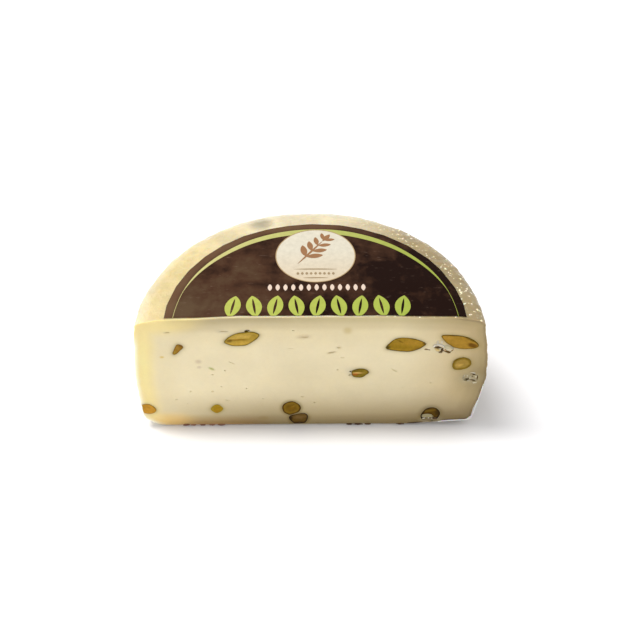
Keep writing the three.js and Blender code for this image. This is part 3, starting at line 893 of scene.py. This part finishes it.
# What the flesh shows besides: place, length, width, tilt, colour, strength and softness.
KERNEL_MARKS = [
    (-28.9, 57.9, 10.0, 2.0, 10, "#CFAD52", 0.7, 0.7), (-29.8, 53.9, 9.6, 1.9, 6, "#CDA643", 0.7, 0.7),
    (-30.3, 56.1, 7.6, 0.9, 3, "#8F6B18", 0.9, 0.5), (-34.1, 55.5, 2.4, 1.8, 20, "#6A4C0D", 0.8, 0.6),
    (-23.6, 58.6, 3.0, 2.6, 30, "#9B7E25", 0.6, 0.7), (43.6, 53.6, 8.6, 3.0, -4, "#B3892B", 0.7, 0.7),
    (38.6, 50.9, 10.0, 2.0, -2, "#917214", 0.7, 0.7), (37.5, 54.9, 4.8, 0.6, -34, "#664D0C", 0.8, 0.5),
    (36.2, 54.4, 3.0, 2.0, 30, "#9A7B23", 0.5, 0.6), (32.6, 51.0, 2.6, 2.4, 40, "#423B08", 0.9, 0.6),
    (48.5, 53.2, 2.0, 1.6, 0, "#583E0E", 0.8, 0.6), (44.6, 50.0, 5.0, 1.2, 26, "#846219", 0.6, 0.7),
    (57.3, 56.4, 4.4, 3.0, 0, "#B88B34", 0.7, 0.7), (62.4, 54.2, 8.4, 2.6, -16, "#B1882F", 0.7, 0.7),
    (68.8, 52.0, 4.6, 2.4, -24, "#704A06", 0.95, 0.4), (67.6, 55.6, 7.0, 1.0, -34, "#4F3F0C", 0.8, 0.5),
    (64.0, 39.9, 3.4, 1.7, 12, "#C4A04D", 0.9, 0.6), (65.8, 41.8, 4.6, 1.8, 22, "#A48338", 0.7, 0.7),
    (66.4, 44.3, 5.4, 1.0, -12, "#453505", 0.8, 0.6), (20.7, 35.2, 5.6, 0.55, -3, "#EABA68", 1.0, 0.4),
    (19.2, 34.4, 2.8, 1.3, 0, "#AA5E20", 0.9, 0.5), (23.8, 35.6, 2.8, 2.6, 0, "#8F7720", 0.7, 0.6),
    (19.4, 36.8, 3.4, 1.0, 14, "#5B4A0D", 0.7, 0.6), (-8.8, 12.2, 4.6, 4.8, 0, "#5B4005", 0.6, 0.4),
    (-8.9, 12.0, 3.0, 3.0, 0, "#7C590C", 0.8, 0.6), (-8.0, 13.2, 2.2, 1.0, 30, "#906D19", 0.7, 0.6),
    (-5.4, 5.7, 5.4, 2.2, 6, "#795D32", 0.8, 0.7), (-9.2, 5.0, 1.8, 3.4, 0, "#362204", 0.9, 0.6),
    (-5.0, 1.9, 6.0, 1.6, 0, "#2E1C07", 0.8, 0.7), (-74.0, 13.6, 3.4, 2.0, -20, "#AE7D24", 0.6, 0.6),
    (-54.7, 52.7, 2.8, 1.4, -30, "#724C1C", 0.8, 0.6), (-57.9, 48.3, 2.4, 1.8, 50, "#A68934", 0.7, 0.7),
    (-42.2, 9.8, 3.4, 1.6, 0, "#AA7022", 0.5, 0.7), (-44.4, 12.0, 1.6, 2.0, 0, "#A58F30", 0.7, 0.7),
    (53.4, 9.6, 5.0, 1.3, 12, "#7C6017", 0.8, 0.6), (57.0, 8.2, 1.6, 3.6, 0, "#402D06", 0.8, 0.6),
]

# Dense oily nut flesh: light hardly goes in, its colour is mottled in small patches, and the
# blade left it a little rough, so it hardly gleams.
kernel_flesh, tree, shader = material("pistachio kernel, cut through its skin")
at = node(tree, "TexCoord").outputs["Object"]
painted = node(tree, "Attribute", {"attribute_name": "paint"})
fibres = node(tree, "TexNoise", {"Scale": repeats(1.4286), "Detail": 4, "Roughness": 0.65},
              {"Vector": at})
mottle = node(tree, "MapRange", {"From Min": 0.3, "From Max": 0.7, "To Min": 0.84, "To Max": 1.14},
              {"Value": fibres})
tinted = node(tree, "VectorMath", {"operation": "SCALE"}, {"Vector": painted, "Scale": mottle})
torn_bump = node(tree, "Bump", {"Strength": 0.4, "Distance": 0.3 * MM}, {"Height": fibres})
fill(shader, {"Roughness": 0.5, "Specular IOR Level": 0.05, "Subsurface Weight": 0.2,
              "Subsurface Radius": (1.0, 0.8, 0.4), "Subsurface Scale": 0.5 * MM},
     {"Base Color": tinted, "Normal": torn_bump})

KERNEL_FACETS = (64, 40)
KERNEL_ROOM = 11 * MM


def cut_kernel(name):
    """One kernel, whole in its skin and then cut by the knife a little off the paste's cut."""
    x, z = (each * MM for each in middle_of(PISTACHIOS[name][1]))
    flesh, skin_colour, edge, proud = KERNEL_LOOKS[name]
    kernel = egg(name, facets=KERNEL_FACETS)
    kernel.name = name + "_kernel"
    whole = skin_of(kernel)
    knife = knife_block(AXIS_X + x - KERNEL_ROOM, AXIS_X + x + KERNEL_ROOM, z - KERNEL_ROOM,
                        z + KERNEL_ROOM, step=0.3 * MM, proud=proud * MM, wave=0.25 * MM,
                        wave_length=2.6 * MM)
    boolean(kernel, knife, "INTERSECT")

    def colour_at(point):
        depth = whole.find_nearest(point)[3] / MM
        place_x, place_z = (point.x - AXIS_X) / MM, point.z / MM
        inner = marked(linear(flesh), place_x, place_z, KERNEL_MARKS)
        return blend(linear(skin_colour), inner, smooth(depth, edge * 0.35, edge * 1.25))

    paint(kernel, colour_at)
    made_of(kernel, kernel_flesh)
    shade_round(kernel, 40)
    return kernel


for name in PISTACHIOS:
    kernel = cut_kernel(name)
    if name == "pistachio_6":
        # It was pressed against its neighbour, which dented it.
        boolean(kernel, egg("pistachio_5", POCKET_GAP), "DIFFERENCE")
    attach(kernel, "root")
    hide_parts(name)


# ---- The label ----------------------------------------------------------------------------
# A round label of satin paper, printed dark brown all over and glued to the top before the
# wheel was cut. It follows the start of the shoulder, and its edge was trimmed by hand.

PAPER = 0.18 * MM
GLUE = 0.03 * MM
SHEET_STEP = 1.1 * MM
# Punches cut the sheets, and their places and sizes are in millimetres. The label's own was
# made of this many straight snips.
PUNCH_HEIGHT = 10 * MM
LEAF_FACETS = 28
LABEL_SNIPS = 36


def draped(point):
    """Bends a sheet that lies flat at height 0 over the wheel's top and shoulder, on its glue."""
    x, y = point.x - AXIS_X, point.y - CUT_Y
    over = max(0, (math.hypot(x, y) - SHOULDER_RADIUS) / SHOULDER_REACH + 1)
    drop = SHOULDER_DROP * (1 - (1 - over ** SHOULDER_POWER) ** (1 / SHOULDER_POWER))
    return Vector((point.x, point.y, WHEEL_HEIGHT + GLUE + point.z - drop + top_ripple(x, y)))


def flat_sheet(low, high):
    """A flat sheet large enough for the whole label, between two heights."""
    reach = LABEL_RADIUS + 3 * MM
    count = round(2 * reach / SHEET_STEP)
    middle = (LABEL_CENTRE.x, CUT_Y + reach / 2 - 2 * MM, high)
    return grid_slab(middle, (2 * reach, reach), (count, count // 2), (0, 0, low - high))


def round_punch(x, y, radius, facets, uneven=0.0):
    """A tall round cutter over a place on the top, given from the wheel's axis. Uneven is how
    far its radius strays, and its corners stray along with it."""
    bpy.ops.mesh.primitive_cylinder_add(vertices=facets, radius=1, depth=PUNCH_HEIGHT)
    punch = bpy.context.object
    for vertex in punch.data.vertices:
        turn = math.atan2(vertex.co.y, vertex.co.x)
        wander = noise.noise(Vector((math.cos(turn) * 2.6, math.sin(turn) * 2.6, 1.3)))
        turn += 0.12 * uneven * noise.noise(Vector((math.cos(turn) * 9, math.sin(turn) * 9, 7.7)))
        size = (radius + uneven * wander) * MM
        vertex.co.x = AXIS_X + x * MM + size * math.cos(turn)
        vertex.co.y = CUT_Y + y * MM + size * math.sin(turn)
    return punch


def leaf_punch(x, y, long, wide, tilt):
    """A tall pointed-oval cutter: a leaf's outline with its length at tilt degrees."""
    bpy.ops.mesh.primitive_cylinder_add(vertices=LEAF_FACETS, radius=1, depth=PUNCH_HEIGHT)
    punch = bpy.context.object
    c, s = math.cos(math.radians(tilt)), math.sin(math.radians(tilt))
    for vertex in punch.data.vertices:
        along = vertex.co.x * long / 2
        across = vertex.co.y * abs(vertex.co.y) ** 0.7 * wide / 2
        vertex.co.x = AXIS_X + (x + along * c - across * s) * MM
        vertex.co.y = CUT_Y + (y + along * s + across * c) * MM
    return punch


def fused(pieces):
    """One solid of several that may overlap."""
    for other in pieces[1:]:
        boolean(pieces[0], other, "UNION")
    return pieces[0]


def drape_piece(piece):
    """Halves a flat piece by the knife's cut, bends it over the cheese and finishes it."""
    reach_x = LABEL_RADIUS + 4 * MM
    knife = knife_block(LABEL_CENTRE.x - reach_x, LABEL_CENTRE.x + reach_x, -6 * MM, 6 * MM,
                        step=SHEET_STEP, proud=0.12 * MM, wave=0.3 * MM, wave_length=9 * MM)
    boolean(piece, knife, "INTERSECT")
    for vertex in piece.data.vertices:
        vertex.co = draped(vertex.co)
    shade_round(piece, 35)
    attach(piece, "root")
    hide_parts("label")


label = flat_sheet(0, PAPER)
label.name = "label_paper"
trimmed = round_punch(*LABEL_OFF_AXIS, 63.2, LABEL_SNIPS, uneven=0.5)
boolean(label, trimmed, "INTERSECT")
drape_piece(label)

# Coated paper under a full coat of ink: nearly black where fat has soaked in, lighter where it is dry,
# painted lighter towards the left and the back as a painted sheen, with pale scuffs, and a faint satin
# gleam.
ground, tree, shader = material("satin label paper, printed brown")
at = node(tree, "TexCoord").outputs["Object"]
place = node(tree, "SeparateXYZ", None, {"Vector": at})
stains = node(tree, "TexNoise", {"Scale": repeats(13.333), "Detail": 4, "Roughness": 0.6,
              "Distortion": 0.2}, {"Vector": at})
# It is painted lighter at the left and the back: a painted sheen from the lamp behind on the left.
leftness = node(tree, "MapRange", {"From Min": 50 * MM, "From Max": -55 * MM, "To Min": -0.27,
                "To Max": 0.12}, {"Value": place.outputs["X"]})
backness = node(tree, "MapRange", {"From Min": 0, "From Max": 20 * MM, "To Min": 0, "To Max": 0.1},
                {"Value": place.outputs["Y"]})
painted_sheen = node(tree, "Math", {"operation": "ADD"}, {0: leftness, 1: backness})
stains_and_sheen = node(tree, "Math", {"operation": "ADD"}, {0: stains, 1: painted_sheen})
brown = node(tree, "ValToRGB", None, {"Fac": stains_and_sheen})
brown.color_ramp.elements[0].position = 0.3
brown.color_ramp.elements[0].color = linear("#190904")
brown.color_ramp.elements[1].position = 0.76
brown.color_ramp.elements[1].color = linear("#4F3D2B")
middle = brown.color_ramp.elements.new(0.52)
middle.color = linear("#40291B")
scuff_size = (repeats(3.8462), repeats(0.66667), repeats(0.66667))
scuffed = node(tree, "Mapping", {"Scale": scuff_size, "Rotation": (0, 0, 0.5)}, {"Vector": at})
scuffs = node(tree, "TexNoise", {"Scale": 1, "Detail": 3, "Roughness": 0.5}, {"Vector": scuffed})
scuff = node(tree, "MapRange", {"From Min": 0.66, "From Max": 0.78, "To Min": 0, "To Max": 0.3},
             {"Value": scuffs})
worn = node(tree, "Mix", {"data_type": "RGBA", 7: linear("#8C7668")}, {0: scuff, 6: brown})
# Outside the crescent, at the back and the left, the printed brown is a shade lighter.
from_centre = node(tree, "VectorMath", {"operation": "DISTANCE", 1: LABEL_CENTRE}, {0: at})
outer = node(tree, "MapRange", {"From Min": 58.5 * MM, "From Max": 61 * MM}, {"Value": from_centre})
not_right = node(tree, "MapRange", {"From Min": 34 * MM, "From Max": 8 * MM, "To Max": 0.5},
                 {"Value": place.outputs["X"]})
band = node(tree, "Math", {"operation": "MULTIPLY"}, {0: outer, 1: not_right})
edged = node(tree, "Mix", {"data_type": "RGBA", 7: linear("#6A4E38")}, {0: band, 6: worn})
fibre = node(tree, "TexNoise", {"Scale": repeats(0.76923), "Detail": 3, "Roughness": 0.6},
             {"Vector": at})
fibre_bump = node(tree, "Bump", {"Strength": 0.15, "Distance": 0.1 * MM}, {"Height": fibre})
fill(shader, {"Roughness": 0.38, "Specular IOR Level": 0.05},
     {"Base Color": edged, "Normal": fibre_bump})
made_of(label, ground)


# ---- The label's print --------------------------------------------------------------------
# Coloured inks on the brown: a thin green crescent along the edge, a cream disc with a brown
# sprig near the back, a row of green leaves at the cut, and small cream marks above them.

INK = 0.05 * MM


def ink(name, punches, holes, colour, level=0, fade=("Y", 0, 40 * MM, None)):
    """A thin layer of ink on the label, in the shape of the punches less the holes. An ink of
    level 1 lies on one of level 0. Along fade's axis, between its two places, the ink turns from
    the colour given there to its own."""
    layer = flat_sheet(PAPER - INK, PAPER + (1 + level) * INK)
    layer.name = name
    boolean(layer, fused(punches), "INTERSECT")
    for hole in holes:
        boolean(layer, hole, "DIFFERENCE")
    drape_piece(layer)
    # Thick printing ink, unevenly pressed: it covers the brown and is satin like the paper.
    paint_made, tree, shader = material(name.replace("_", " "))
    at = node(tree, "TexCoord").outputs["Object"]
    press = node(tree, "TexNoise", {"Scale": repeats(2), "Detail": 4, "Roughness": 0.7},
                 {"Vector": at})
    thin = node(tree, "MapRange", {"From Min": 0.3, "From Max": 0.7, "To Min": 0.9, "To Max": 1.06},
                {"Value": press})
    place = node(tree, "SeparateXYZ", None, {"Vector": at})
    axis, start, end, other = fade
    along = node(tree, "MapRange", {"From Min": start, "From Max": end},
                 {"Value": place.outputs[axis]})
    tint = node(tree, "Mix", {"data_type": "RGBA", 6: linear(other or colour), 7: linear(colour)},
                {0: along})
    shade = node(tree, "VectorMath", {"operation": "SCALE"}, {"Vector": tint, "Scale": thin})
    fill(shader, {"Roughness": 0.4, "Specular IOR Level": 0.2}, {"Base Color": shade})
    made_of(layer, paint_made)


# The crescent narrows to a hairline at both ends, and the disc covers its middle.
CRESCENT_FACETS = 260
DISC_MIDDLE = (2.4, 38.2)
DISC_RADIUS = 17.4
DISC_FACETS = 120
inside_hairline = round_punch(*LABEL_OFF_AXIS, 59.1, CRESCENT_FACETS)
inside_crescent = round_punch(2.3, -7.9, 60.8, CRESCENT_FACETS)
boolean(inside_crescent, inside_hairline, "INTERSECT")
ink("label_green_crescent", [round_punch(*LABEL_OFF_AXIS, 59.3, CRESCENT_FACETS)],
    [inside_crescent, round_punch(*DISC_MIDDLE, DISC_RADIUS, 96)], "#B4AE70",
    fade=("X", 45 * MM, -45 * MM, "#8F993E"))
ink("label_cream_disc", [round_punch(*DISC_MIDDLE, DISC_RADIUS, DISC_FACETS)], [], "#C4BDAB",
    fade=("Y", CUT_Y + 22 * MM, CUT_Y + 42 * MM, "#C1B197"))
ink("label_disc_edge", [round_punch(*DISC_MIDDLE, DISC_RADIUS + 0.1, DISC_FACETS)],
    [round_punch(*DISC_MIDDLE, DISC_RADIUS - 0.3, DISC_FACETS)], "#A08660", level=1)

# A stem with four pairs of leaves, smaller towards its tip, and one leaf at its end.
STEM_TILT = 54
STEM_TURN = math.radians(STEM_TILT)
sprig = [leaf_punch(0.2, 40.3, 19, 1.0, STEM_TILT)]
for step in range(8):
    along = 5.8 + 4.5 * (step // 2)
    turn = STEM_TURN + math.radians(46 if step % 2 else -46)
    long = 8.4 - 0.2 * along
    x = -5.4 + along * math.cos(STEM_TURN) + (long / 2 + 0.5) * math.cos(turn)
    y = 32.6 + along * math.sin(STEM_TURN) + (long / 2 + 0.5) * math.sin(turn)
    sprig.append(leaf_punch(x, y, long, long * 0.4, math.degrees(turn)))
sprig.append(leaf_punch(7.2, 50.0, 5.4, 2.3, STEM_TILT))
ink("label_sprig", sprig, [], "#8A6240", level=1)

# Two tapering rules, with a row of dots between them.
rules = [leaf_punch(2.4, 29.2, 19, 0.7, 0), leaf_punch(2.4, 23.6, 11, 0.6, 0)]
rules += [leaf_punch(-5.2 + 1.9 * step, 26.4, 1.7, 1.2, 90) for step in range(9)]
ink("label_rules", rules, [], "#8E7A5C", level=1)

# Leaves that lean in turn to the left and the right, each slit along its middle.
leaf_row = []
leaf_slits = []
for step in range(9):
    x = -32.2 + 8.85 * step
    lean = 90 + (9 if step % 2 else -9)
    leaf_row.append(leaf_punch(x, 6.2, 13.0, 6.6, lean))
    leaf_slits.append(leaf_punch(x, 6.2, 9.6, 1.1, lean))
ink("label_leaf_row", leaf_row, leaf_slits, "#A2A84B", fade=("X", 40 * MM, -40 * MM, "#93A03E"))

# Upright pointed dashes.
small_row = [leaf_punch(-17 + 3.3 * step, 17.6, 4.0, 1.8, 90) for step in range(13)]
ink("label_small_row", small_row, [], "#CDB9A8")
